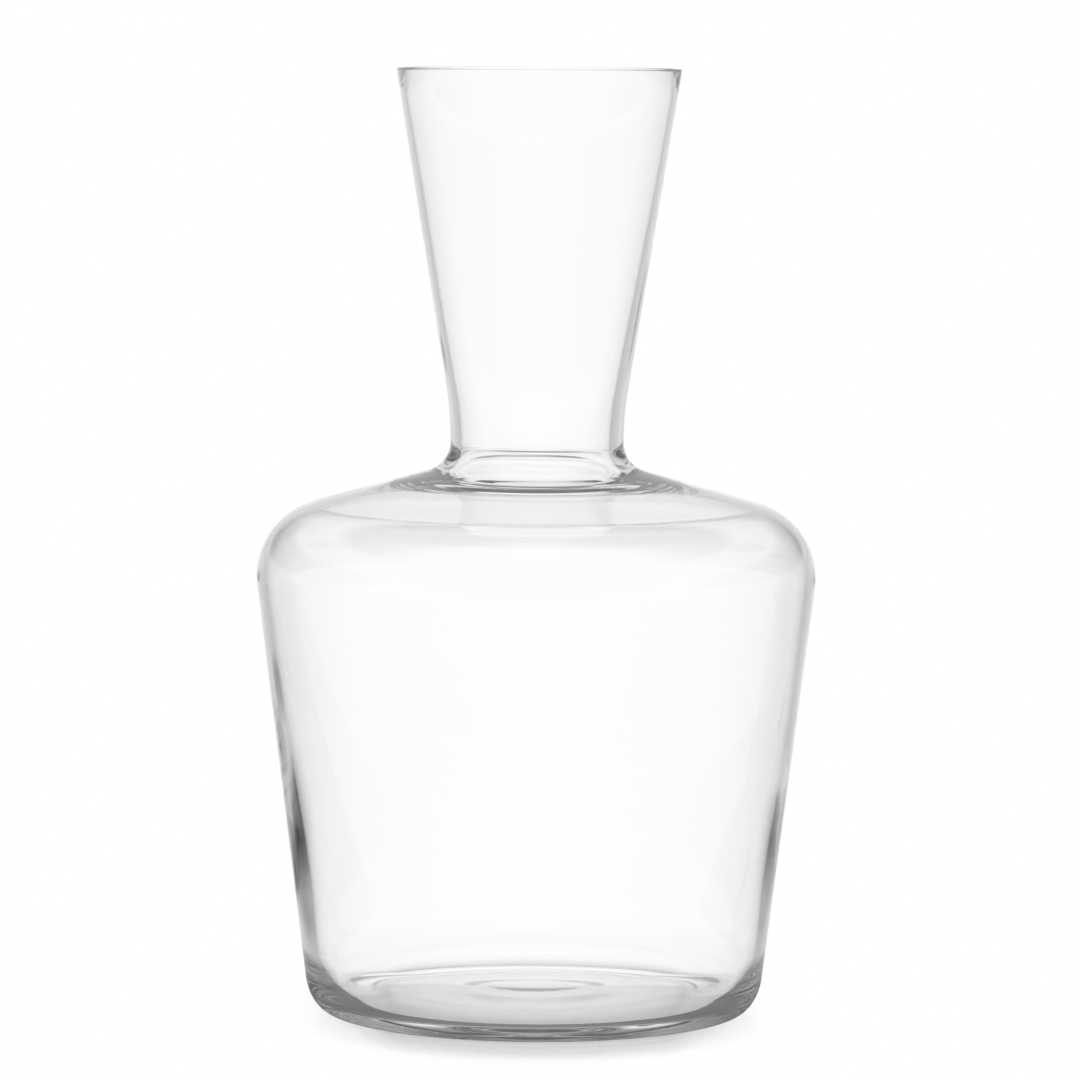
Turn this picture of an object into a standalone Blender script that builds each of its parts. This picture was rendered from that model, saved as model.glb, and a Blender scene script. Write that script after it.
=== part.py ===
"""A blown glass decanter: one piece of clear glass, open at its flared mouth. Metres, +Z up, table at z = 0."""

import math

import bpy
from mathutils import Vector
from mathutils.geometry import interpolate_bezier

# Outside of the glass, from the mouth down to the table
OVERALL_HEIGHT = 0.2400
RIM_RADIUS = 0.0361
LIP_ROUND = 0.0005                   # round on both edges of the cut rim
FLARE_ROUND = 0.0840                 # slow bend from the waist into the flared neck
WAIST_RADIUS = 0.0220
ROOT_ROUND = 0.0080                  # fillet between the neck and the shoulder
SHOULDER_SLOPE = math.radians(15.9)  # fall of the shoulder, measured from level
SHOULDER_ROUND = 0.0192              # bend from the shoulder into the body wall
WIDEST_RADIUS = 0.0711
WIDEST_HEIGHT = 0.1110
HEEL_RADIUS = 0.0583                 # body wall where the heel starts to bend in
HEEL_HEIGHT = 0.0085
STAND_RADIUS = 0.0520                # outer edge of the flat ring that touches the table
STAND_WIDTH = 0.0020
PUNT_HEIGHT = 0.0030                 # push-up in the middle of the underside

# Thickness of the glass, and the floor inside
RIM_WALL = 0.0015
WAIST_WALL = 0.0029
SHOULDER_WALL = 0.0021
INNER_SLOPE = math.radians(14.0)     # flatter than the outside, so the glass thickens towards the neck
FOOT_WALL = 0.0036                   # body wall just above the inner heel
BASE_WALL = 0.0046                   # floor above the standing ring
FLOOR_RADIUS = 0.0490                # where the floor starts to bend up into the wall
FLOOR_HEEL_HEIGHT = 0.0095           # how far that bend climbs above the floor
FLOOR_RISE = 0.0012                  # crown in the middle of the floor

# Fineness of the facets
TURN_STEPS = 48
LIP_STEPS = 2
FLARE_STEPS = 4
ROOT_STEPS = 6
SHOULDER_STEPS = 8
HEEL_POINTS = 7
DOME_STEPS = 5

GLASS_COLOUR = (0.94, 0.96, 0.96, 1.0)
GLASS_ROUGHNESS = 0.02
GLASS_IOR = 1.5

# Handle length at which a cubic curve follows a quarter of an ellipse
QUARTER_HANDLE = 4 / 3 * (math.sqrt(2) - 1)
MERGE_DISTANCE = 0.00001


def clear_scene():
    for leftover in list(bpy.data.objects):
        bpy.data.objects.remove(leftover, do_unlink=True)


def arc(centre, radius, start, end, steps):
    """Points along a circle from one angle to another, both ends included."""
    angles = [start + (end - start) * step / steps for step in range(steps + 1)]
    return [centre + radius * Vector((math.cos(angle), math.sin(angle))) for angle in angles]


def touching_angle(centre, radius, point):
    """Angle at which a straight line from a point outside a circle touches it, on the left of that line."""
    reach = point - centre
    return math.atan2(reach.y, reach.x) + math.acos(radius / reach.length)


def wall_outline(rim_radius, flare_round, waist_radius, root_round, slope, shoulder_round, foot):
    """One face of the wall as radius and height, from the rim down to the point where the heel begins."""
    slope_out = Vector((math.sin(slope), math.cos(slope)))
    shoulder_centre = Vector((WIDEST_RADIUS - SHOULDER_ROUND, WIDEST_HEIGHT))
    slope_end = shoulder_centre + shoulder_round * slope_out

    # The fillet at the neck's root touches the sloping shoulder below and the upright waist above
    root_x = waist_radius + root_round
    slope_start_x = root_x - root_round * slope_out.x
    slope_start_z = slope_end.y + (slope_end.x - slope_start_x) * math.tan(slope)
    waist_height = slope_start_z + root_round * slope_out.y
    root_centre = Vector((root_x, waist_height))

    flare_centre = Vector((waist_radius + flare_round, waist_height))
    rim = Vector((rim_radius, OVERALL_HEIGHT - LIP_ROUND))
    flare_top = touching_angle(flare_centre, flare_round, rim)
    wall_top = touching_angle(shoulder_centre, shoulder_round, foot)

    flare = arc(flare_centre, flare_round, flare_top, math.pi, FLARE_STEPS)
    root = arc(root_centre, root_round, math.pi, 1.5 * math.pi - slope, ROOT_STEPS)
    shoulder = arc(shoulder_centre, shoulder_round, math.pi / 2 - slope, 0.0, SHOULDER_STEPS)
    turn_in = arc(shoulder_centre, shoulder_round, 0.0, wall_top, 1)
    return [rim] + flare + root[1:] + shoulder + turn_in[1:] + [foot]


def heel_curve(wall_top, foot, level, level_radius):
    """Elliptical bend that leaves the wall at the foot and lands flat on a level, at a given radius."""
    down = foot - wall_top
    corner = foot + down * (level - foot.y) / down.y
    landing = Vector((level_radius, level))
    foot_handle = foot.lerp(corner, QUARTER_HANDLE)
    landing_handle = landing.lerp(corner, QUARTER_HANDLE)
    return interpolate_bezier(foot, foot_handle, landing_handle, landing, HEEL_POINTS)


def dome(edge_radius, level, rise):
    """Smooth crown from its edge in to the axis, without the edge point itself."""
    points = []
    for step in range(DOME_STEPS - 1, -1, -1):
        share = step / DOME_STEPS
        points.append(Vector((edge_radius * share, level + rise * (1 + math.cos(math.pi * share)) / 2)))
    return points


def outer_wall():
    """Outer face of the wall from the rim to the top of the heel."""
    foot = Vector((HEEL_RADIUS, HEEL_HEIGHT))
    return wall_outline(RIM_RADIUS, FLARE_ROUND, WAIST_RADIUS, ROOT_ROUND, SHOULDER_SLOPE, SHOULDER_ROUND, foot)


def outside():
    """Outer face from the rim to the middle of the underside."""
    wall = outer_wall()
    heel = heel_curve(wall[-2], wall[-1], 0.0, STAND_RADIUS)
    ring_inner = Vector((STAND_RADIUS - STAND_WIDTH, 0.0))
    return wall + heel[1:] + [ring_inner] + dome(ring_inner.x, 0.0, PUNT_HEIGHT)


def inside():
    """Inner face from the rim to the middle of the floor."""
    outer_top, outer_foot = outer_wall()[-2:]
    heel_top = BASE_WALL + FLOOR_HEEL_HEIGHT
    share = (heel_top - outer_foot.y) / (outer_top.y - outer_foot.y)
    foot = outer_foot.lerp(outer_top, share) - Vector((FOOT_WALL, 0.0))
    wall = wall_outline(
        RIM_RADIUS - RIM_WALL,
        FLARE_ROUND + WAIST_WALL,
        WAIST_RADIUS - WAIST_WALL,
        ROOT_ROUND + WAIST_WALL,
        INNER_SLOPE,
        SHOULDER_ROUND - SHOULDER_WALL,
        foot,
    )
    heel = heel_curve(wall[-2], foot, BASE_WALL, FLOOR_RADIUS)
    return wall + heel[1:] + dome(FLOOR_RADIUS, BASE_WALL, FLOOR_RISE)


def lip():
    """The cut rim with its two small rounds, from the inner face over the top to the outer face."""
    inner_round = Vector((RIM_RADIUS - RIM_WALL + LIP_ROUND, OVERALL_HEIGHT - LIP_ROUND))
    outer_round = Vector((RIM_RADIUS - LIP_ROUND, OVERALL_HEIGHT - LIP_ROUND))
    inner = arc(inner_round, LIP_ROUND, math.pi, math.pi / 2, LIP_STEPS)
    outer = arc(outer_round, LIP_ROUND, math.pi / 2, 0.0, LIP_STEPS)
    return inner[1:] + outer[:-1]


def glass_material():
    material = bpy.data.materials.new("clear_glass")
    material.use_nodes = True
    shader = material.node_tree.nodes["Principled BSDF"]
    shader.inputs["Base Color"].default_value = GLASS_COLOUR
    shader.inputs["Roughness"].default_value = GLASS_ROUGHNESS
    shader.inputs["Metallic"].default_value = 0.0
    shader.inputs["IOR"].default_value = GLASS_IOR
    shader.inputs["Transmission Weight"].default_value = 1.0
    return material


def glass_vessel():
    """The whole decanter: its section, from the floor inside over the rim to the underside, turned about Z."""
    section = list(reversed(inside())) + lip() + outside()

    mesh = bpy.data.meshes.new("glass_vessel")
    edges = [(index, index + 1) for index in range(len(section) - 1)]
    mesh.from_pydata([(point.x, 0.0, point.y) for point in section], edges, [])
    mesh.materials.append(glass_material())
    vessel = bpy.data.objects.new("glass_vessel", mesh)
    bpy.context.scene.collection.objects.link(vessel)

    turn = vessel.modifiers.new("turn", "SCREW")
    turn.axis = "Z"
    turn.angle = 2 * math.pi
    turn.steps = TURN_STEPS
    turn.render_steps = TURN_STEPS
    turn.use_merge_vertices = True
    turn.merge_threshold = MERGE_DISTANCE
    turn.use_smooth_shade = True
    return vessel


clear_scene()
glass_vessel()
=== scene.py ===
# %% [markdown]
# A clear glass decanter
#
# The real object is one piece of blown glass: a flared neck, a narrow waist, a sloping shoulder and a
# body that tapers to a rounded heel. Clear glass has almost no colour of its own. What the eye sees is
# the room, bent and mirrored by two skins of glass, so this lesson spends its care on those two skins and
# on the room.

# %% Load the frame
import math

import bpy
from mathutils import Matrix, Vector


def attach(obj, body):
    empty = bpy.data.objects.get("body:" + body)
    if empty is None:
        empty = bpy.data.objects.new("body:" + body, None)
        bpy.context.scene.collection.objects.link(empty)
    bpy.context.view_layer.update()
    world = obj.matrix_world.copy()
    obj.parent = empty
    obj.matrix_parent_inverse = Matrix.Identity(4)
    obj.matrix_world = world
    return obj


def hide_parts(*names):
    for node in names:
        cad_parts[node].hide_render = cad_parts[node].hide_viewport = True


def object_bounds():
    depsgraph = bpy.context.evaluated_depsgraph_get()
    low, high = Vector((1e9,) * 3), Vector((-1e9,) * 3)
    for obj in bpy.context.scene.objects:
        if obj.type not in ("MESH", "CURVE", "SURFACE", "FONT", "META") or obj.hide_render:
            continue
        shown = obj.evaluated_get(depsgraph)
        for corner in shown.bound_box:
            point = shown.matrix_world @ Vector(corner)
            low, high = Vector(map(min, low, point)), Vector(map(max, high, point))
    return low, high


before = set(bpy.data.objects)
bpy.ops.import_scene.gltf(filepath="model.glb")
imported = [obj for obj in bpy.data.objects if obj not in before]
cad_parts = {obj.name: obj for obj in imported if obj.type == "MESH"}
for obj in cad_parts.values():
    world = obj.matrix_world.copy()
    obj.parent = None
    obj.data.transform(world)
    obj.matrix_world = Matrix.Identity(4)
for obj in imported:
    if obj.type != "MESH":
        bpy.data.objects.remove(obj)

cad_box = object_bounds()
print("solid box, metres:", [[round(value, 4) for value in corner] for corner in cad_box])

# %% [markdown]
# The camera
#
# The glass is seen from about a metre and a half away through a long lens, from just above the height of
# its rim. A long lens keeps the mouth and the base at nearly the same scale. The camera looks along +Y,
# so X runs to the right in the picture. A third of a degree of roll is kept, because the glass leans by
# that much in the picture.

# %% Aim the camera
FRAME_PIXELS = 1080
CAMERA_DISTANCE = 1.55
CAMERA_HEIGHT = 0.2545
CAMERA_ROLL = 0.0064
FOCAL_PIXELS = 6115
SENSOR_WIDTH = 36
VIEW_REACH = 60
AIM_POINT = Vector((0.0009, 0.0, 0.1203))

camera_data = bpy.data.cameras.new("studio_camera")
camera_data.sensor_width = SENSOR_WIDTH
camera_data.lens = SENSOR_WIDTH * FOCAL_PIXELS / FRAME_PIXELS
camera_data.clip_end = VIEW_REACH
camera = bpy.data.objects.new("studio_camera", camera_data)
bpy.context.scene.collection.objects.link(camera)

camera_place = Vector((0.0, -CAMERA_DISTANCE, CAMERA_HEIGHT))
look = (AIM_POINT - camera_place).to_track_quat("-Z", "Y").to_matrix().to_4x4()
camera.matrix_world = Matrix.Translation(camera_place) @ look @ Matrix.Rotation(CAMERA_ROLL, 4, "Z")
bpy.context.scene.camera = camera
print("lens, mm:", round(camera_data.lens, 1))

# %% [markdown]
# The outer skin
#
# A glass blower turns the vessel about its axis, so half of its outline says everything. The outline
# could be a free curve, but a few true arcs joined by straight runs are closer to what the tools leave: a
# slow flare, a small fillet at the root of the neck, a straight slope, a round shoulder and a straight
# taper. Each arc meets its neighbours without a corner, because any corner in clear glass shows as a hard
# line.

# %% Sizes of the outer skin
HEIGHT = cad_box[1][2]
RIM_RADIUS = 0.0361
LIP_ROUND = 0.0005
FLARE_ROUND = 0.0840
WAIST_RADIUS = 0.0220
ROOT_ROUND = 0.0080
SHOULDER_SLOPE = math.radians(15.9)
SHOULDER_ROUND = 0.0192
WIDEST_RADIUS = 0.0711
WIDEST_HEIGHT = 0.1110
HEEL_RADIUS = 0.0583
HEEL_HEIGHT = 0.0085
print("height over widest part:", round(HEIGHT / (2 * WIDEST_RADIUS), 3))


# %% Straight and round stretches of an outline
def straight(start, end, steps):
    return [start.lerp(end, step / steps) for step in range(steps)]


def bend(centre, radius, start, end, steps):
    angles = [start + (end - start) * step / steps for step in range(steps + 1)]
    return [centre + radius * Vector((math.cos(angle), math.sin(angle))) for angle in angles]


def touching_angle(centre, radius, point):
    reach = point - centre
    return math.atan2(reach.y, reach.x) + math.acos(radius / reach.length)


# %% Where the stretches of the outer skin meet
slope_out = Vector((math.sin(SHOULDER_SLOPE), math.cos(SHOULDER_SLOPE)))
shoulder_centre = Vector((WIDEST_RADIUS - SHOULDER_ROUND, WIDEST_HEIGHT))
slope_end = shoulder_centre + SHOULDER_ROUND * slope_out
slope_start = Vector((WAIST_RADIUS + ROOT_ROUND * (1 - slope_out.x), 0.0))
slope_start.y = slope_end.y + (slope_end.x - slope_start.x) * math.tan(SHOULDER_SLOPE)
waist_height = slope_start.y + ROOT_ROUND * slope_out.y

root_centre = Vector((WAIST_RADIUS + ROOT_ROUND, waist_height))
flare_centre = Vector((WAIST_RADIUS + FLARE_ROUND, waist_height))
rim_edge = Vector((RIM_RADIUS, HEIGHT - LIP_ROUND))
heel_top = Vector((HEEL_RADIUS, HEEL_HEIGHT))
flare_start = touching_angle(flare_centre, FLARE_ROUND, rim_edge)
taper_start = touching_angle(shoulder_centre, SHOULDER_ROUND, heel_top)
print("waist at", round(waist_height, 4), "m")

# %% Outline of the outer skin, as radius and height
FUNNEL_STEPS = 12
FLARE_STEPS = 18
ROOT_STEPS = 22
SLOPE_STEPS = 24
SHOULDER_STEPS = 34
TAPER_STEPS = 26

flare = bend(flare_centre, FLARE_ROUND, flare_start, math.pi, FLARE_STEPS)
root = bend(root_centre, ROOT_ROUND, math.pi, 1.5 * math.pi - SHOULDER_SLOPE, ROOT_STEPS)
shoulder_start = math.pi / 2 - SHOULDER_SLOPE
shoulder = bend(shoulder_centre, SHOULDER_ROUND, shoulder_start, taper_start, SHOULDER_STEPS)
funnel = straight(rim_edge, flare[0], FUNNEL_STEPS)
slope = straight(root[-1], shoulder[0], SLOPE_STEPS)
taper = straight(shoulder[-1], heel_top, TAPER_STEPS)
outer_skin = funnel + flare[:-1] + root[:-1] + slope + shoulder[:-1] + taper + [heel_top]
print("outer skin:", len(outer_skin), "points")

# %% [markdown]
# The inner skin
#
# Blown glass is never equally thick. It is thin at the rim, thick where the neck was drawn out of the
# body, thin again over the wide shoulder and thick towards the foot, where it sank while it was soft. The
# wedge of glass round the root of the neck matters most. Light that enters the slope there can't leave
# through the inside, runs up the wall of the neck and comes out dim, and that draws the white oval, the
# dark band below it and the dark wings beside it. So the inner skin is the outer one moved inwards by a
# thickness that glides from one value to the next.

# %% Thickness along the wall
MILLIMETRES = 1000
RIM_WALL = 0.0015
NECK_WALL = 0.0020
NECK_HEIGHT = 0.195
WAIST_WALL = 0.0030
ROOT_WALL = 0.0040
ROOT_SHARE = 0.66
# Stops of radius and thickness down the slope of the shoulder
WEDGE_WALLS = [(0.0275, 0.0034), (0.0312, 0.0029), (0.0344, 0.0023), (0.0368, 0.0021), (0.0445, 0.0020)]
SHOULDER_WALL = 0.0020
# Stops of height and thickness down the body
BODY_WALLS = [(0.099, 0.0022), (0.079, 0.0023), (0.059, 0.0026), (0.041, 0.0032), (0.028, 0.0034)]
FOOT_WALL = 0.0032
BASE_WALL = 0.0046
INNER_HEEL_RISE = 0.0090
print("wall at the rim and at the waist, mm:", MILLIMETRES * RIM_WALL, MILLIMETRES * WAIST_WALL)


# %% A value that glides through its stops without overshooting
def glide(stops, place):
    places = [stop[0] for stop in stops]
    values = [stop[1] for stop in stops]
    pairs = range(len(stops) - 1)
    grades = [(values[i + 1] - values[i]) / (places[i + 1] - places[i]) for i in pairs]
    leans = [0.0]
    for before, after in zip(grades, grades[1:]):
        leans.append(2 * before * after / (before + after) if before * after > 0 else 0.0)
    leans.append(0.0)
    place = min(max(place, places[0]), places[-1])
    index = max(i for i in pairs if places[i] <= place)
    span = places[index + 1] - places[index]
    share = (place - places[index]) / span
    rest = 1 - share
    near = values[index] * (1 + 2 * share) + leans[index] * span * share
    far = values[index + 1] * (1 + 2 * rest) - leans[index + 1] * span * rest
    return near * rest ** 2 + far * share ** 2


# %% Find places by their distance along the outer skin
SAME_PLACE = 0.000001
travel = [0.0]
for before, after in zip(outer_skin, outer_skin[1:]):
    travel.append(travel[-1] + (after - before).length)


def travel_where(fits):
    """Distance along the outer skin to its first point that fits."""
    return next(way for way, point in zip(travel, outer_skin) if fits(point))


def travel_at_height(height):
    return travel_where(lambda point: point.y <= height + SAME_PLACE)


def travel_at_slope(radius):
    below_root = slope_start.y + SAME_PLACE
    return travel_where(lambda point: point.x >= radius - SAME_PLACE and point.y < below_root)


print("outer skin, mm long:", round(MILLIMETRES * travel[-1], 1))

# %% Set the stops of the thickness
foot_height = BASE_WALL + INNER_HEEL_RISE
waist_travel = travel_at_height(waist_height)
slope_travel = travel_at_slope(slope_start.x)
root_travel = waist_travel + ROOT_SHARE * (slope_travel - waist_travel)
wall_stops = [
    (0.0, RIM_WALL),
    (travel_at_height(NECK_HEIGHT), NECK_WALL),
    (waist_travel, WAIST_WALL),
    (root_travel, ROOT_WALL),
    *[(travel_at_slope(radius), wall) for radius, wall in WEDGE_WALLS],
    (travel_at_slope(slope_end.x), SHOULDER_WALL),
    *[(travel_at_height(height), wall) for height, wall in BODY_WALLS],
    (travel_at_height(foot_height), FOOT_WALL),
]
print("thickest wall, mm:", MILLIMETRES * max(wall for way, wall in wall_stops))

# %% Move the outer skin inwards
inner_skin = []
for index, point in enumerate(outer_skin):
    if point.y < foot_height:
        break
    before = outer_skin[max(index - 1, 0)]
    after = outer_skin[min(index + 1, len(outer_skin) - 1)]
    along = (after - before).normalized()
    inwards = Vector((along.y, -along.x))
    inner_skin.append(point + inwards * glide(wall_stops, travel[index]))
inner_skin[0] = Vector((RIM_RADIUS - RIM_WALL, rim_edge.y))
waist_opening = 2 * min(point.x for point in inner_skin)
print("inner skin:", len(inner_skin), "points, waist opening", round(MILLIMETRES * waist_opening, 1), "mm")

# %% [markdown]
# The base
#
# The heel is a quarter of an ellipse from the taper to a narrow flat ring, on which the glass stands.
# Inside the ring the underside is pushed up, so the base can't rock: first a slope, then a shallow dome,
# and in its middle the flat mark of the iron that held the hot glass. The floor inside has a bend of its
# own, a slight crown and two soft rings. Seen at a low angle, a base this thin lies at the edge of total
# reflection, so the smallest step in it shows as an ellipse.

# %% Sizes of the base
STAND_RADIUS = 0.0520
STAND_WIDTH = 0.0020
# Stops of radius and height on the underside
PUSH_UP = [(0.0, 0.0030), (0.0135, 0.0030), (0.0185, 0.0026), (0.0390, 0.0021), (0.0500, 0.0)]
PUSH_UP_STEPS = 36
FLOOR_RADIUS = 0.0510
FLOOR_RISE = 0.0012
FLOOR_RINGS = 2
RING_HEIGHT = 0.00008
print("standing ring, mm across:", 2 * MILLIMETRES * STAND_RADIUS)


# %% Bends and crowns
# Handle length at which a cubic curve follows a quarter of an ellipse
QUARTER_HANDLE = 4 / 3 * (math.sqrt(2) - 1)


def heel_bend(top, down, level, level_radius, steps):
    """Quarter of an ellipse from the wall, where it heads down, to a level at a radius."""
    corner = top + down * (level - top.y) / down.y
    landing = Vector((level_radius, level))
    top_handle = top.lerp(corner, QUARTER_HANDLE)
    landing_handle = landing.lerp(corner, QUARTER_HANDLE)
    points = []
    for step in range(1, steps + 1):
        share = step / steps
        rest = 1 - share
        wall_side = top * rest ** 3 + top_handle * 3 * rest ** 2 * share
        points.append(wall_side + landing_handle * 3 * rest * share ** 2 + landing * share ** 3)
    return points


def crown(edge_radius, level, rise, rings, ring_height, steps):
    """Smooth swelling from an edge in to the axis, with soft rings on it."""
    points = []
    for step in range(steps - 1, -1, -1):
        share = step / steps
        height = level + rise * (1 + math.cos(math.pi * share)) / 2
        height += ring_height * (1 - math.cos(2 * math.pi * rings * share)) / 2 * (1 - share)
        points.append(Vector((edge_radius * share, height)))
    return points


# %% Outline of the heel, the standing ring and the floor
HEEL_STEPS = 26
INNER_HEEL_STEPS = 24
FLOOR_STEPS = 40
outer_heel = heel_bend(heel_top, heel_top - taper[0], 0.0, STAND_RADIUS, HEEL_STEPS)
ring_inner = Vector((STAND_RADIUS - STAND_WIDTH, 0.0))
underside_radii = [ring_inner.x * (1 - step / PUSH_UP_STEPS) for step in range(1, PUSH_UP_STEPS + 1)]
underside = [Vector((radius, glide(PUSH_UP, radius))) for radius in underside_radii]

inner_foot = inner_skin[-1]
wall_down = inner_foot - inner_skin[-4]
inner_heel = heel_bend(inner_foot, wall_down, BASE_WALL, FLOOR_RADIUS, INNER_HEEL_STEPS)
floor_inside = crown(FLOOR_RADIUS, BASE_WALL, FLOOR_RISE, FLOOR_RINGS, RING_HEIGHT, FLOOR_STEPS)
print("floor over standing ring, mm:", MILLIMETRES * BASE_WALL)

# %% [markdown]
# The rim
#
# The rim was cut and then softened in a flame, so both of its edges are tiny rounds with a narrow flat
# between them. They catch the thin line that closes the mouth.

# %% Round the two edges of the rim
LIP_STEPS = 5
lip_height = HEIGHT - LIP_ROUND
inner_lip_centre = Vector((RIM_RADIUS - RIM_WALL + LIP_ROUND, lip_height))
outer_lip_centre = Vector((RIM_RADIUS - LIP_ROUND, lip_height))
inner_lip = bend(inner_lip_centre, LIP_ROUND, math.pi, math.pi / 2, LIP_STEPS)[1:]
outer_lip = bend(outer_lip_centre, LIP_ROUND, math.pi / 2, 0.0, LIP_STEPS)[:-1]
print("rim:", len(inner_lip) + len(outer_lip), "points")

# %% Join the whole section
inside = inner_skin + inner_heel + floor_inside
outside = outer_skin + outer_heel + [ring_inner] + underside
section = list(reversed(inside)) + inner_lip + outer_lip + outside
print("whole section:", len(section), "points")

# %% [markdown]
# Draw the section and spin it
#
# By hand one would place a single vertex in the middle of the floor and extrude it, point after point, up
# the inside, over the rim and down the outside. One Spin about the upright axis then makes the whole
# vessel. A Screw modifier would do the same, but Spin leaves a plain mesh that is ready for the next
# step. The doubles on the axis and along the seam are merged, and the normals are recalculated to point
# out of the glass.

# %% Draw the section with one extruded vertex
SEED_SIZE = 0.001
bpy.ops.object.select_all(action="DESELECT")
bpy.ops.mesh.primitive_plane_add(size=SEED_SIZE, location=(0.0, 0.0, section[0].y))
vessel = bpy.context.active_object
vessel.name = "blown_glass"
bpy.ops.object.transform_apply(location=True, rotation=True, scale=True)
bpy.ops.object.mode_set(mode="EDIT")
bpy.ops.mesh.select_all(action="SELECT")
bpy.ops.mesh.merge(type="CENTER")
for before, after in zip(section, section[1:]):
    step = (after.x - before.x, 0.0, after.y - before.y)
    bpy.ops.mesh.extrude_region_move(TRANSFORM_OT_translate={"value": step})
bpy.ops.object.mode_set(mode="OBJECT")
print("drawn:", len(vessel.data.vertices), "vertices")

# %% Spin it into a vessel
TURN_STEPS = 240
MERGE_DISTANCE = 0.000002
bpy.ops.object.mode_set(mode="EDIT")
bpy.ops.mesh.select_all(action="SELECT")
bpy.ops.mesh.spin(steps=TURN_STEPS, angle=2 * math.pi, center=(0, 0, 0), axis=(0, 0, 1))
bpy.ops.mesh.select_all(action="SELECT")
bpy.ops.mesh.remove_doubles(threshold=MERGE_DISTANCE)
bpy.ops.mesh.normals_make_consistent(inside=False)
bpy.ops.object.mode_set(mode="OBJECT")
bpy.ops.object.shade_smooth()
print("spun:", len(vessel.data.polygons), "faces")

# %% [markdown]
# The hand in the glass
#
# A blown wall is not turned on a lathe, and its two skins don't share one axis. Here the inside sits half
# a millimetre to the right in the lower body and a little to the left in the neck. The eye doesn't see
# the shift itself, but the thicker side shows a wider dark edge. A Displace modifier along X, held to the
# inner skin by a vertex group that fades out with height, gives that without moving the outline.

# %% Let the inside sit off centre
# Each drift: its distance along X, and stops of height and share
DRIFTS = {
    "lower_inside": (0.0005, [(0.055, 1.0), (0.105, 0.0)]),
    "neck_inside": (-0.0003, [(0.125, 0.0), (0.142, 1.0), (0.165, 1.0), (0.210, 0.0)]),
}


def faces_in(vertex):
    outwards = Vector((vertex.co.x, vertex.co.y, 0.0)).normalized()
    lean_out = vertex.normal.dot(outwards)
    return lean_out < 0 if vertex.co.z > WIDEST_HEIGHT else lean_out < vertex.normal.z


for name, (distance, stops) in DRIFTS.items():
    group = vessel.vertex_groups.new(name=name)
    for vertex in vessel.data.vertices:
        share = glide(stops, vertex.co.z)
        if share > 0 and faces_in(vertex):
            group.add([vertex.index], share, "REPLACE")
    drift = vessel.modifiers.new(name, "DISPLACE")
    drift.direction = "X"
    drift.mid_level = 0.0
    drift.strength = distance
    drift.vertex_group = name
    bpy.ops.object.modifier_apply(modifier=name)
    print(name, "moved by", MILLIMETRES * distance, "mm")

# %% [markdown]
# The glass
#
# Clear glass is a Principled shader that transmits everything, with the refractive index of soda glass.
# Two quiet things keep it from looking like a perfect solid: a film of wiping that varies the polish from
# place to place, and a slow ripple in the surface.

# %% Make the glass
GLASS_IOR = 1.5
GLASS_TINT = (0.996, 0.998, 1.0, 1.0)
glass = bpy.data.materials.new("clear_blown_glass")
glass.use_nodes = True
glass_nodes = glass.node_tree.nodes
glass_links = glass.node_tree.links
polish = glass_nodes["Principled BSDF"]
polish.inputs["Base Color"].default_value = GLASS_TINT
polish.inputs["IOR"].default_value = GLASS_IOR
polish.inputs["Transmission Weight"].default_value = 1.0

# %% Vary its polish
FILM_SCALE = 38.0
FILM_CLEAN = 0.35
FILM_THICK = 0.75
FILM_ROUGHNESS = 0.012
place = glass_nodes.new("ShaderNodeTexCoord")
film = glass_nodes.new("ShaderNodeTexNoise")
film.inputs["Scale"].default_value = FILM_SCALE
film.inputs["Detail"].default_value = 3.0
film_range = glass_nodes.new("ShaderNodeMapRange")
film_range.inputs["From Min"].default_value = FILM_CLEAN
film_range.inputs["From Max"].default_value = FILM_THICK
film_range.inputs["To Min"].default_value = 0.0
film_range.inputs["To Max"].default_value = FILM_ROUGHNESS
glass_links.new(place.outputs["Object"], film.inputs["Vector"])
glass_links.new(film.outputs["Fac"], film_range.inputs["Value"])
glass_links.new(film_range.outputs["Result"], polish.inputs["Roughness"])
print("roughness of the film, at most:", FILM_ROUGHNESS)

# %% Ripple its surface
RIPPLE_SCALE = 22.0
RIPPLE_STRENGTH = 0.03
RIPPLE_DEPTH = 0.0006
ripple = glass_nodes.new("ShaderNodeTexNoise")
ripple.inputs["Scale"].default_value = RIPPLE_SCALE
ripple.inputs["Detail"].default_value = 1.0
ripple_bump = glass_nodes.new("ShaderNodeBump")
ripple_bump.inputs["Strength"].default_value = RIPPLE_STRENGTH
ripple_bump.inputs["Distance"].default_value = RIPPLE_DEPTH
glass_links.new(place.outputs["Object"], ripple.inputs["Vector"])
glass_links.new(ripple.outputs["Fac"], ripple_bump.inputs["Height"])
glass_links.new(ripple_bump.outputs["Normal"], polish.inputs["Normal"])

vessel.data.materials.clear()
vessel.data.materials.append(glass)
print("glass:", glass.name, "index", GLASS_IOR)

# %% [markdown]
# The studio
#
# A clear thing on white is lit by what stands round it. The background and the floor are plain white, and
# they are seen straight through the glass. The sides of the room are darker screens, which only a
# mirrored ray meets: they draw the grey edges. The Light Path node tells the two kinds of ray apart. A
# ray that has been mirrored at least once has a glossy depth above zero, and it sees the room; every
# other ray sees white.

# %% Small helpers that add arithmetic to a node tree
def number(tree, operation, first, second=0.0):
    node = tree.nodes.new("ShaderNodeMath")
    node.operation = operation
    for socket, value in zip(node.inputs, (first, second)):
        if isinstance(value, (int, float)):
            socket.default_value = value
        else:
            tree.links.new(value, socket)
    return node.outputs[0]


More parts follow.
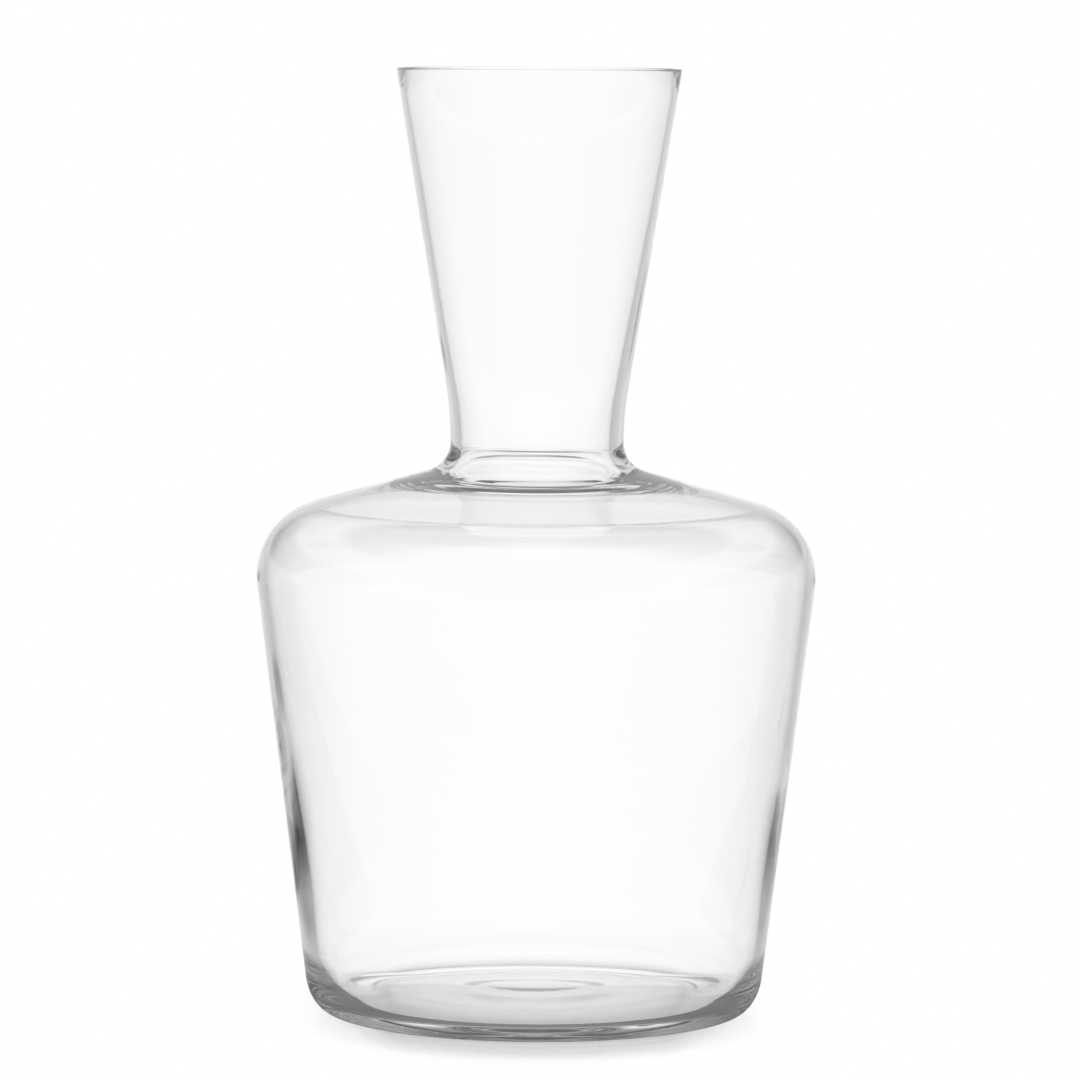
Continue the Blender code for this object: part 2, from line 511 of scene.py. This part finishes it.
def soft_step(tree, value, start, end, low, high):
    node = tree.nodes.new("ShaderNodeMapRange")
    node.interpolation_type = "SMOOTHSTEP"
    tree.links.new(value, node.inputs["Value"])
    limits = {"From Min": start, "From Max": end, "To Min": low, "To Max": high}
    for name, limit in limits.items():
        if isinstance(limit, (int, float)):
            node.inputs[name].default_value = limit
        else:
            tree.links.new(limit, node.inputs[name])
    return node.outputs["Result"]


def blend(tree, share, first, second):
    kept = number(tree, "MULTIPLY", number(tree, "SUBTRACT", 1.0, share), first)
    return number(tree, "ADD", kept, number(tree, "MULTIPLY", share, second))


def distance_of(tree, first, second):
    squares = [number(tree, "MULTIPLY", value, value) for value in (first, second)]
    return number(tree, "SQRT", number(tree, "ADD", squares[0], squares[1]))


def grey_stops(tree, value, full, stops):
    """Grey level along a value from 0 to full, eased between stops of (value, grey)."""
    node = tree.nodes.new("ShaderNodeValToRGB")
    ramp = node.color_ramp
    ramp.interpolation = "EASE"
    ramp.elements.remove(ramp.elements[1])
    ramp.elements[0].position = stops[0][0] / full
    ramp.elements[0].color = (stops[0][1],) * 3 + (1.0,)
    for place, grey in stops[1:]:
        ramp.elements.new(place / full).color = (grey,) * 3 + (1.0,)
    tree.links.new(number(tree, "DIVIDE", value, full), node.inputs["Fac"])
    return node.outputs["Color"]


# %% [markdown]
# Light that runs inside the wall
#
# Some light is caught between the two skins and mirrored again and again before it gets out. Between
# about five and thirty times, it comes from the wedge at the root of the neck and from the heel, and it
# returns dim. Light that was mirrored even more often has gone round the rim or the edge of the body, and
# it returns as a middle grey. Light from higher up, or from far behind the glass, is dimmed after two
# mirrorings already. Counting the mirrorings keeps these places apart without changing the room for
# anything else.

# %% Greys and counts for light that was mirrored many times
RUN_GREY = 0.08
TRAPPED_GREY = 0.45
# Numbers of mirrorings over which light becomes a run, and over which a run counts as trapped
RUN_COUNTS = (2.5, 6.5)
EARLY_RUN_COUNTS = (1.2, 2.3)
TRAPPED_COUNTS = (24, 40)
EARLY_TRAPPED_COUNTS = (15, 26)
print("light is dimmed fully after", RUN_COUNTS[1], "mirrorings, or early after", EARLY_RUN_COUNTS[1])

# %% Helpers that ask what the light has been through
AT_LEAST_ONE = 0.5
AT_LEAST_FOUR = 3.5


def passed(tree, light_path, kind, count):
    return number(tree, "GREATER_THAN", light_path.outputs[kind + " Depth"], count)


def eased_counts(tree, early, late_counts, early_counts):
    return [blend(tree, early, late, soon) for late, soon in zip(late_counts, early_counts)]


def dimmed_by_runs(tree, light_path, grey, run_grey, trapped_grey, early, where=1.0):
    """Dim a grey for light that was mirrored often, or only twice where early is 1."""
    mirrorings = light_path.outputs["Glossy Depth"]
    trapped_counts = eased_counts(tree, early, TRAPPED_COUNTS, EARLY_TRAPPED_COUNTS)
    run_grey = soft_step(tree, mirrorings, *trapped_counts, run_grey, trapped_grey)
    run_counts = eased_counts(tree, early, RUN_COUNTS, EARLY_RUN_COUNTS)
    share = soft_step(tree, mirrorings, *run_counts, 0.0, where)
    return blend(tree, share, grey, run_grey)


# %% [markdown]
# The room
#
# Directions round the glass are written as two angles: how far round from straight behind it, and how
# high. Low down, the white background darkens quickly towards the sides and is bright again beside the
# camera. A little higher the walls are greyer, above them hangs a paler panel, and the ceiling is nearly
# black except in front. Light that ran inside the wall is dark low down and pale high up, unless it was
# trapped. Light that has crossed the whole vessel sees a room of its own, pale with a darker band, which
# tints the floor inside. Light that falls on the sheet below stays almost white, so the shadow is soft.

# %% Greys of the room, round the glass
# Stops of degrees and grey
HALF_TURN = 180
LOW_ROOM = [
    (0, 1.0), (5, 0.96), (12, 0.88), (20, 0.8), (32, 0.72), (50, 0.6), (75, 0.65), (112, 1.0), (180, 1.0),
]
MIDDLE_ROOM = [
    (0, 0.8), (5, 0.76), (11, 0.74), (16, 0.62), (22, 0.45), (30, 0.35),
    (45, 0.32), (60, 0.4), (90, 0.5), (120, 0.9), (180, 0.9),
]
HIGH_PANEL = 0.75
FRONT_LIGHT = 0.9
CEILING = 0.10
print("darkest middle wall:", min(grey for angle, grey in MIDDLE_ROOM))

# %% Greys of the room, upwards
QUARTER_TURN = 90
DEEP_ROOM = [
    (0, 1.0), (7, 1.0), (12, 0.75), (19, 0.7), (22, 0.35), (28, 0.35), (32, 0.72), (37, 0.72), (45, 0.95),
]
DEEP_RUN_ROOM = [(0, 1.0), (6, 0.9), (11, 0.1), (21, 0.1), (25, 0.65), (37, 0.7), (45, 0.95)]
RUN_ROOM = [(0, 0.08), (20, 0.1), (25, 0.45), (30, 0.8), (40, 0.9)]
HIGH_TRAPPED_GREY = 0.1
FLOOR_LIGHT = 0.9
print("darkest band of the deep room:", min(grey for angle, grey in DEEP_ROOM))

# %% Measure the two angles
studio = bpy.data.worlds.new("studio_room")
bpy.context.scene.world = studio
studio.use_nodes = True
room = studio.node_tree
direction = room.nodes.new("ShaderNodeTexCoord")
split = room.nodes.new("ShaderNodeSeparateXYZ")
room.links.new(direction.outputs["Generated"], split.inputs["Vector"])
turned = number(room, "ABSOLUTE", number(room, "ARCTAN2", split.outputs["X"], split.outputs["Y"]))
turned = number(room, "DEGREES", turned)
raised = number(room, "DEGREES", number(room, "ARCSINE", split.outputs["Z"]))
above = number(room, "MAXIMUM", raised, 0.0)
print("straight behind the glass is +Y")

# %% Stack the room's walls
# Degrees over which one part of the room passes into the next
LOW_TO_MIDDLE = (2, 8)
MIDDLE_TO_HIGH = (18, 25)
PANEL_TO_CEILING = (37, 45)
SIDE_TO_FRONT = (75, 120)

low_wall = grey_stops(room, turned, HALF_TURN, LOW_ROOM)
middle_wall = grey_stops(room, turned, HALF_TURN, MIDDLE_ROOM)
wall_grey = soft_step(room, raised, *LOW_TO_MIDDLE, low_wall, middle_wall)
high_wall = soft_step(room, raised, *PANEL_TO_CEILING, HIGH_PANEL, CEILING)
high_wall = soft_step(room, turned, *SIDE_TO_FRONT, high_wall, FRONT_LIGHT)
wall_grey = soft_step(room, raised, *MIDDLE_TO_HIGH, wall_grey, high_wall)
print("the ceiling starts at", PANEL_TO_CEILING[1], "degrees")

# %% Pick a wall by what the light has been through
DEEP_RUN_COUNTS = (1.2, 2.2)
HIGH_UP = (7, 12)
room_path = room.nodes.new("ShaderNodeLightPath")
room_mirrorings = room_path.outputs["Glossy Depth"]
deep = passed(room, room_path, "Transmission", AT_LEAST_FOUR)
deep_wall = grey_stops(room, above, QUARTER_TURN, DEEP_ROOM)
deep_run_wall = grey_stops(room, above, QUARTER_TURN, DEEP_RUN_ROOM)
deep_wall = soft_step(room, room_mirrorings, *DEEP_RUN_COUNTS, deep_wall, deep_run_wall)
wall_grey = blend(room, deep, wall_grey, deep_wall)

shallow = number(room, "SUBTRACT", 1.0, deep)
run_wall = grey_stops(room, above, QUARTER_TURN, RUN_ROOM)
high_up = soft_step(room, raised, *HIGH_UP, 0.0, 1.0)
trapped_wall = blend(room, high_up, TRAPPED_GREY, HIGH_TRAPPED_GREY)
wall_grey = dimmed_by_runs(room, room_path, wall_grey, run_wall, trapped_wall, high_up, shallow)
lights_floor = passed(room, room_path, "Diffuse", AT_LEAST_ONE)
wall_grey = blend(room, number(room, "MULTIPLY", lights_floor, FLOOR_LIGHT), wall_grey, 1.0)
print("light from above", HIGH_UP[1], "degrees is dimmed early")

# %% Light the room
room_mirrored = passed(room, room_path, "Glossy", AT_LEAST_ONE)
room_light = blend(room, room_mirrored, 1.0, wall_grey)
room.nodes["Background"].inputs["Color"].default_value = (1.0, 1.0, 1.0, 1.0)
room.links.new(room_light, room.nodes["Background"].inputs["Strength"])
print("room nodes:", len(room.nodes))

# %% [markdown]
# The floor
#
# The glass stands on a pale, slightly glossy sheet that runs out into the white background. Close to the
# glass the sheet carries its real shadow and a blurred reflection, and on top of them a painted shadow
# that is darkest where the standing ring presses on it. A mirrored ray meets the same sheet glowing with a
# painted
# tone: white in front and behind, painted greyer to the sides, and with a painted contact shadow where the
# standing ring shuts out light. A few soft dark patches are painted on it beside and behind the glass,
# seen only by mirrored rays, as the shade of dark cards a photographer would place there, to give the
# edges of the body and of the waist their streaks.

# %% Lay the floor
FLOOR_REACH = 40.0
FLOOR_GAP = 0.0002
bpy.ops.object.select_all(action="DESELECT")
bpy.ops.mesh.primitive_plane_add(size=2 * FLOOR_REACH, location=(0.0, 0.0, -FLOOR_GAP))
floor = bpy.context.active_object
floor.name = "studio_floor"
print("floor just under the standing ring, mm:", MILLIMETRES * FLOOR_GAP)

# %% Painted tones of the floor and its painted dark patches
# Stops of degrees round the glass and tone: painted shade, greyer towards the sides, that mirrored rays
# meet on the floor
FLOOR_SHADE_ROUND = [
    (0, 1.0), (15, 1.0), (18, 0.94), (23, 0.84), (28, 0.74), (36, 0.66), (60, 0.5), (110, 0.8), (180, 1.0),
]
# Stops of millimetres from the axis and tone, for two painted contact shadows round the standing ring: the
# first on the sheet seen straight, the second on the sheet seen by mirrored rays
SHEET_REACH = 200
PAINTED_SHEET_SHADOW = [(0, 1.0), (24, 0.98), (38, 0.82), (47, 0.6), (54, 0.74), (64, 0.9), (78, 1.0)]
PAINTED_CONTACT_SHADOW = [(0, 0.8), (25, 0.7), (40, 0.3), (47, 0.2), (55, 0.2), (70, 0.4), (90, 0.9), (110, 1.0)]
# Each painted dark patch, the shade of a card that only mirrored rays see: x and y of its middle, half its
# width and length, and the share of light it leaves
PAINTED_CARD_SHADES = [
    (-0.160, 0.150, 0.080, 0.095, 0.05),
    (0.160, 0.150, 0.070, 0.085, 0.22),
    (-0.240, 0.360, 0.060, 0.120, 0.35),
    (-0.385, 1.200, 0.090, 0.300, 0.05),
    (0.385, 1.200, 0.090, 0.300, 0.40),
]
PATCH_EDGE = (0.3, 1.0)
print("cards on the floor:", len(PAINTED_CARD_SHADES))

# %% Painted shade of the floor for mirrored rays
sheet = bpy.data.materials.new("pale_sheet")
sheet.use_nodes = True
paper = sheet.node_tree
paper.nodes.clear()
spot = paper.nodes.new("ShaderNodeTexCoord")
spot_split = paper.nodes.new("ShaderNodeSeparateXYZ")
paper.links.new(spot.outputs["Object"], spot_split.inputs["Vector"])
spot_x = spot_split.outputs["X"]
spot_y = spot_split.outputs["Y"]
aside = number(paper, "ABSOLUTE", spot_x)
out_from_axis = distance_of(paper, spot_x, spot_y)

floor_turn = number(paper, "DEGREES", number(paper, "ARCTAN2", aside, spot_y))
tone = grey_stops(paper, floor_turn, HALF_TURN, FLOOR_SHADE_ROUND)
# Painted dark patches: each one darkens the floor tone under it, as shade that only mirrored rays see
for patch_x, patch_y, half_width, half_length, kept in PAINTED_CARD_SHADES:
    off_x = number(paper, "DIVIDE", number(paper, "SUBTRACT", spot_x, patch_x), half_width)
    off_y = number(paper, "DIVIDE", number(paper, "SUBTRACT", spot_y, patch_y), half_length)
    shaded = number(paper, "MULTIPLY", tone, kept)
    tone = soft_step(paper, distance_of(paper, off_x, off_y), *PATCH_EDGE, shaded, tone)
contact_way = number(paper, "MULTIPLY", out_from_axis, MILLIMETRES)
# Painted contact shadow for mirrored rays, darkest where the standing ring shuts out light
painted_contact = grey_stops(paper, contact_way, SHEET_REACH, PAINTED_CONTACT_SHADOW)
tone = number(paper, "MULTIPLY", tone, painted_contact)
print("darkest contact tone:", min(kept for way, kept in PAINTED_CONTACT_SHADOW))

# %% Pick a tone by what the light has been through
FAR_BEHIND = (0.22, 0.40)
paper_path = paper.nodes.new("ShaderNodeLightPath")
mirrored = passed(paper, paper_path, "Glossy", AT_LEAST_ONE)
far_behind = soft_step(paper, spot_y, *FAR_BEHIND, 0.0, 1.0)
tone = dimmed_by_runs(paper, paper_path, tone, RUN_GREY, TRAPPED_GREY, far_behind)
lights_paper = passed(paper, paper_path, "Diffuse", AT_LEAST_ONE)
tone = blend(paper, number(paper, "MULTIPLY", lights_paper, FLOOR_LIGHT), tone, 1.0)
print("light from more than", FAR_BEHIND[1], "m behind is dimmed early")

# %% Paint a shadow on the floor close to the glass
SIDE_START = 0.035
SIDE_PULL = 1.5
past_side = number(paper, "MAXIMUM", number(paper, "SUBTRACT", aside, SIDE_START), 0.0)
shade_way = number(paper, "ADD", out_from_axis, number(paper, "MULTIPLY", past_side, SIDE_PULL))
shade_way = number(paper, "MULTIPLY", shade_way, MILLIMETRES)
# Painted shadow: the sheet's own colour darkens round the standing ring, mostly in front of and behind it
shade = grey_stops(paper, shade_way, SHEET_REACH, PAINTED_SHEET_SHADOW)
seen_tone = blend(paper, mirrored, shade, tone)
grey = paper.nodes.new("ShaderNodeCombineColor")
for socket in grey.inputs:
    paper.links.new(seen_tone, socket)
print("darkest shade on the floor:", min(kept for way, kept in PAINTED_SHEET_SHADOW))

# %% Make the floor matt, with some gloss beside the glass
FLOOR_GLOSS = 0.25
GLOSS_EDGE = (0.065, 0.095)
GLOSS_ROUGHNESS = 0.04
matt = paper.nodes.new("ShaderNodeBsdfDiffuse")
gloss = paper.nodes.new("ShaderNodeBsdfGlossy")
gloss.inputs["Roughness"].default_value = GLOSS_ROUGHNESS
paper.links.new(grey.outputs["Color"], matt.inputs["Color"])

surface = paper.nodes.new("ShaderNodeMixShader")
gloss_share = soft_step(paper, out_from_axis, *GLOSS_EDGE, FLOOR_GLOSS, 0.0)
paper.links.new(gloss_share, surface.inputs["Fac"])
paper.links.new(matt.outputs["BSDF"], surface.inputs[1])
paper.links.new(gloss.outputs["BSDF"], surface.inputs[2])
print("gloss ends", GLOSS_EDGE[1], "m from the axis")

# %% Let the floor fade into the white background, and glow with its painted shade for mirrored rays
SHADE_EDGE = (0.062, 0.094)
SHADE_SQUEEZE = 1.45
# Away from the glass the floor glows an even white, and mirrored rays always meet this glow, which carries
# the painted shade, painted contact shadow and painted dark patches
glow = paper.nodes.new("ShaderNodeEmission")
paper.links.new(grey.outputs["Color"], glow.inputs["Color"])
faded = paper.nodes.new("ShaderNodeMixShader")
shade_reach = distance_of(paper, number(paper, "MULTIPLY", spot_x, SHADE_SQUEEZE), spot_y)
fade = number(paper, "MAXIMUM", soft_step(paper, shade_reach, *SHADE_EDGE, 0.0, 1.0), mirrored)
paper.links.new(fade, faded.inputs["Fac"])
paper.links.new(surface.outputs["Shader"], faded.inputs[1])
paper.links.new(glow.outputs["Emission"], faded.inputs[2])
sheet_output = paper.nodes.new("ShaderNodeOutputMaterial")
paper.links.new(faded.outputs["Shader"], sheet_output.inputs["Surface"])
floor.data.materials.append(sheet)
print("floor nodes:", len(paper.nodes))

# %% [markdown]
# Long paths of light
#
# Light can run round inside a wall of glass and be mirrored hundreds of times before it leaves. If the
# renderer gives up early, such places turn black, above all the corners of the rim, so the limits are
# raised as far as they go. It costs little, because few paths are that long. Blurring of glossy light is
# switched off, because it would smear the fine lines in the glass.

# %% Let light bounce often
LONGEST_PATH = 1024
cycles = bpy.context.scene.cycles
cycles.max_bounces = LONGEST_PATH
cycles.transmission_bounces = LONGEST_PATH
cycles.glossy_bounces = LONGEST_PATH
cycles.diffuse_bounces = 3
cycles.blur_glossy = 0.0
bpy.context.scene.view_settings.view_transform = "Standard"
print("bounces:", cycles.max_bounces)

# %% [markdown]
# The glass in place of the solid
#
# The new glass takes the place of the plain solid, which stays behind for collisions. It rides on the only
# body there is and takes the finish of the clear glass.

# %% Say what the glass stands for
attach(vessel, "root")
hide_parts("glass_vessel")
